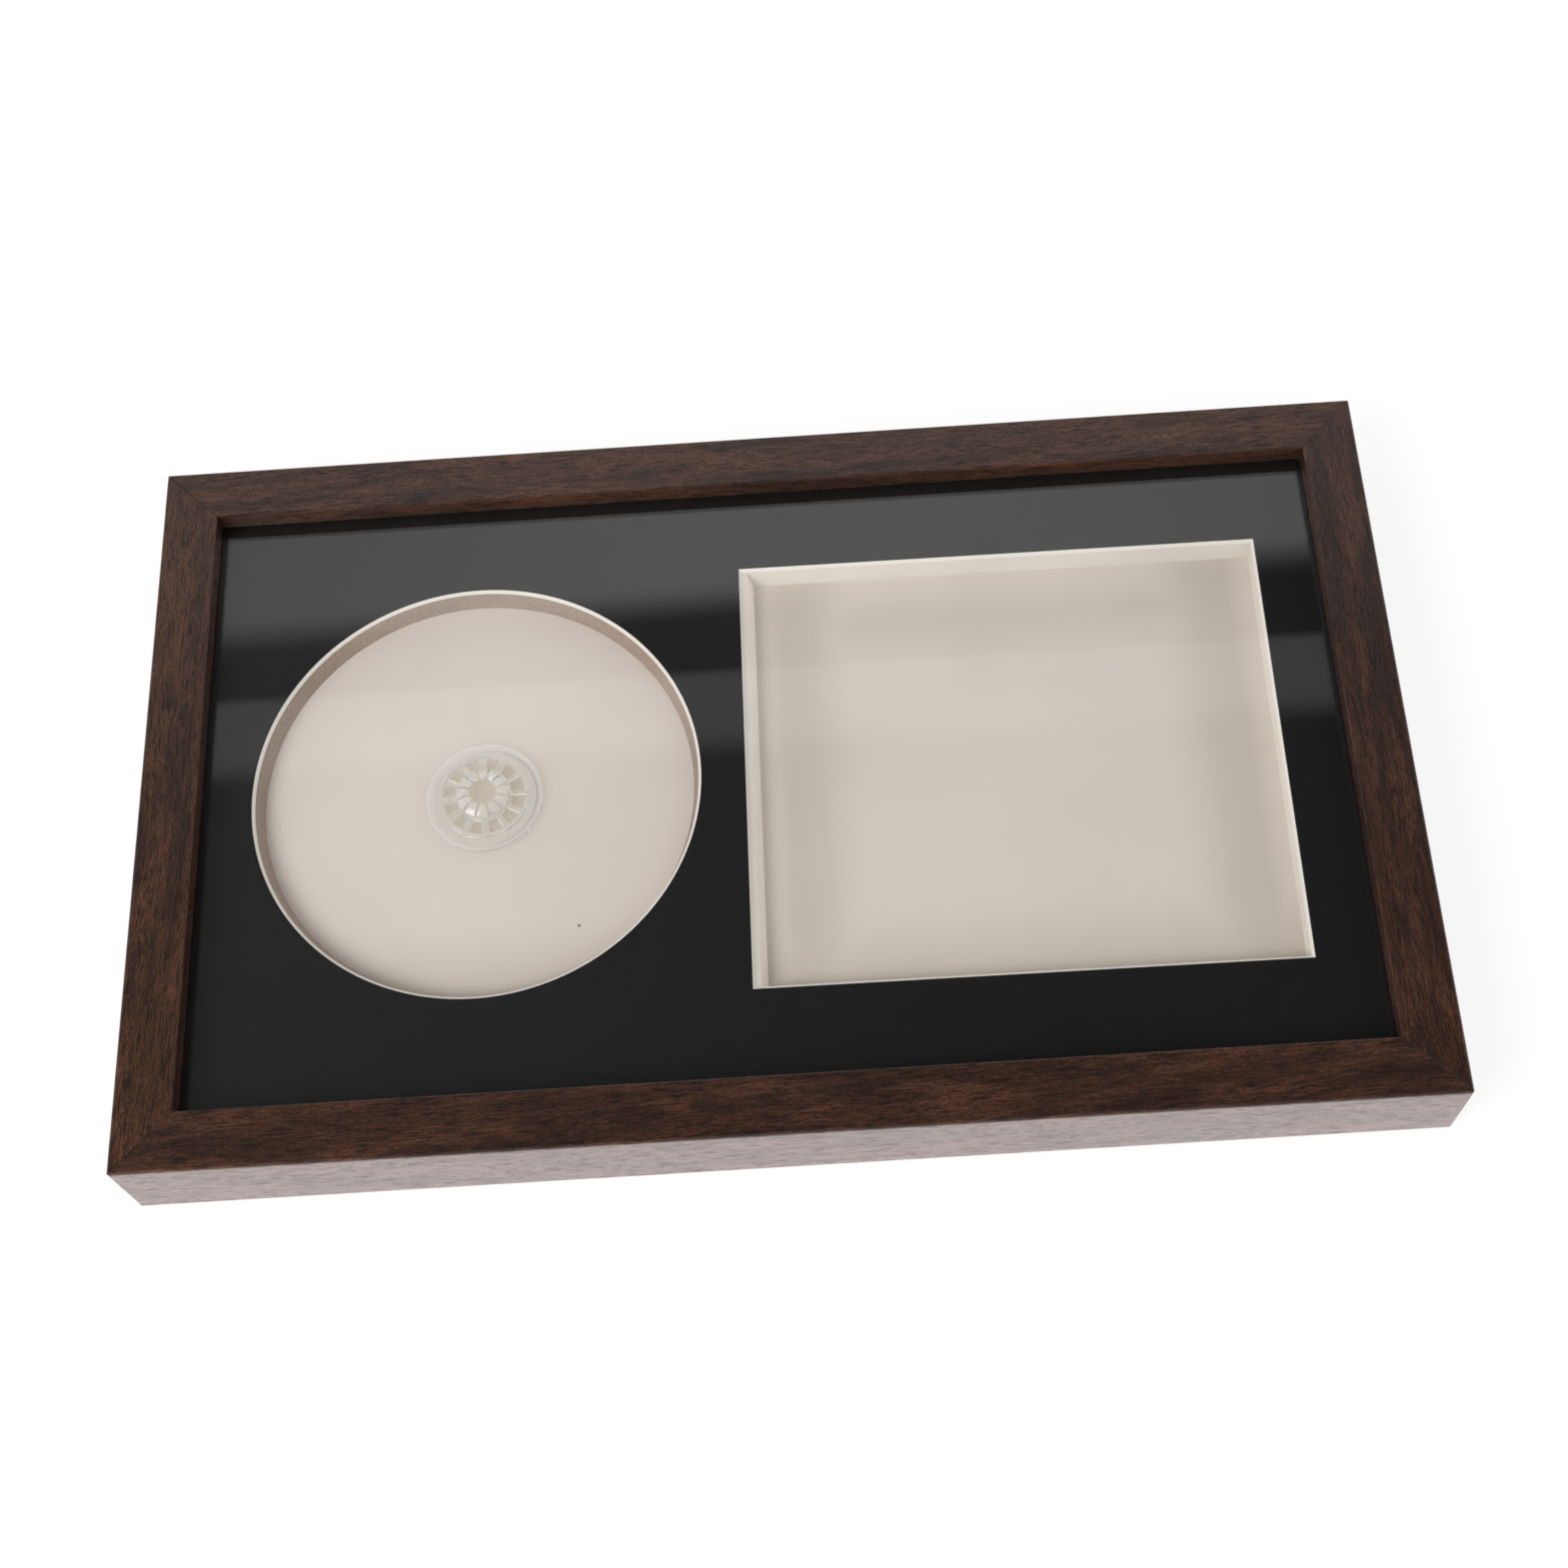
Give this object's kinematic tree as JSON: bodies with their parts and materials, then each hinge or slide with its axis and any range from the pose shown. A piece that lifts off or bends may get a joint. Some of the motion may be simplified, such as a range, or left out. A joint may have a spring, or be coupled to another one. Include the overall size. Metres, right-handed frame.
{
  "type": "compact disc display frame",
  "caption": "Shadow-box wall frame for a compact disc and its cover: walnut moulding, clear glazing, black window mat, disc hub and a lift-out back held by swivel clips.",
  "frame": {"origin": "middle of the frame's back, on the surface that the frame lies on face up", "axes": "+Z out of the glazed face, +X along the long side from the disc window to the cover window, +Y towards the top rail"},
  "size_m": [0.351, 0.213, 0.03],
  "materials": {
    "walnut": "dark walnut stain under a satin lacquer",
    "nail_steel": "zinc plated, plain",
    "glazing": "clear and polished",
    "mat_black": "matt black paper on a white core",
    "spacer_foam": "white foam board, cut edges",
    "backing_cream": "smooth cream card",
    "foam_tape": "adhesive foam",
    "hub_clear": "clear moulded plastic",
    "fibreboard": "bare medium-density fibreboard",
    "clip_zinc": "zinc plated, stamped",
    "hanger_nickel": "nickel plated"
  },
  "bodies": {
    "frame": {"rail_top": "walnut", "rail_bottom": "walnut", "rail_left": "walnut", "rail_right": "walnut", "corner_nail_bottom_left": "nail_steel", "corner_nail_bottom_right": "nail_steel", "corner_nail_top_left": "nail_steel", "corner_nail_top_right": "nail_steel", "glazing": "glazing", "mat_board": "mat_black", "spacer_board": "spacer_foam"},
    "back_unit": {"backing_board": "backing_cream", "hub_pad": "foam_tape", "disc_hub": "hub_clear", "back_panel": "fibreboard", "clip_rivet_bottom_left": "clip_zinc", "clip_rivet_bottom_right": "clip_zinc", "clip_rivet_top_left": "clip_zinc", "clip_rivet_top_right": "clip_zinc", "clip_rivet_left": "clip_zinc", "clip_rivet_right": "clip_zinc", "hanger_strap_left": "hanger_nickel", "hanger_strap_right": "hanger_nickel", "hanger_rivet_left_upper": "hanger_nickel", "hanger_rivet_left_lower": "hanger_nickel", "hanger_rivet_right_upper": "hanger_nickel", "hanger_rivet_right_lower": "hanger_nickel"},
    "swivel_clip_bottom_left": {"clip_bottom_left": "clip_zinc"},
    "swivel_clip_bottom_right": {"clip_bottom_right": "clip_zinc"},
    "swivel_clip_top_left": {"clip_top_left": "clip_zinc"},
    "swivel_clip_top_right": {"clip_top_right": "clip_zinc"},
    "swivel_clip_left": {"clip_left": "clip_zinc"},
    "swivel_clip_right": {"clip_right": "clip_zinc"},
    "ring_left": {"hanger_ring_left": "hanger_nickel"},
    "ring_right": {"hanger_ring_right": "hanger_nickel"}
  },
  "joints": [
    {"name": "frame_lift", "type": "slide", "parent": "back_unit", "child": "frame", "axis": [0, 0, 1], "range_m": [0, 0.06]},
    {"name": "clip_bottom_left_turn", "type": "hinge", "parent": "back_unit", "child": "swivel_clip_bottom_left", "pos_m": [-0.0987, -0.0835, 0.0096], "axis": [0, 0, 1], "range_deg": [0, 90]},
    {"name": "clip_bottom_right_turn", "type": "hinge", "parent": "back_unit", "child": "swivel_clip_bottom_right", "pos_m": [0.0987, -0.0835, 0.0096], "axis": [0, 0, 1], "range_deg": [0, 90]},
    {"name": "clip_top_left_turn", "type": "hinge", "parent": "back_unit", "child": "swivel_clip_top_left", "pos_m": [-0.0987, 0.0835, 0.0096], "axis": [0, 0, 1], "range_deg": [0, 90]},
    {"name": "clip_top_right_turn", "type": "hinge", "parent": "back_unit", "child": "swivel_clip_top_right", "pos_m": [0.0987, 0.0835, 0.0096], "axis": [0, 0, 1], "range_deg": [0, 90]},
    {"name": "clip_left_turn", "type": "hinge", "parent": "back_unit", "child": "swivel_clip_left", "pos_m": [-0.1525, 0, 0.0096], "axis": [0, 0, 1], "range_deg": [0, 90]},
    {"name": "clip_right_turn", "type": "hinge", "parent": "back_unit", "child": "swivel_clip_right", "pos_m": [0.1525, 0, 0.0096], "axis": [0, 0, 1], "range_deg": [0, 90]},
    {"name": "ring_left_swing", "type": "hinge", "parent": "back_unit", "child": "ring_left", "pos_m": [-0.05922, 0.072, 0.0084], "axis": [1, 0, 0], "range_deg": [-90, 98]},
    {"name": "ring_right_swing", "type": "hinge", "parent": "back_unit", "child": "ring_right", "pos_m": [0.05922, 0.072, 0.0084], "axis": [1, 0, 0], "range_deg": [-90, 98]}
  ]
}
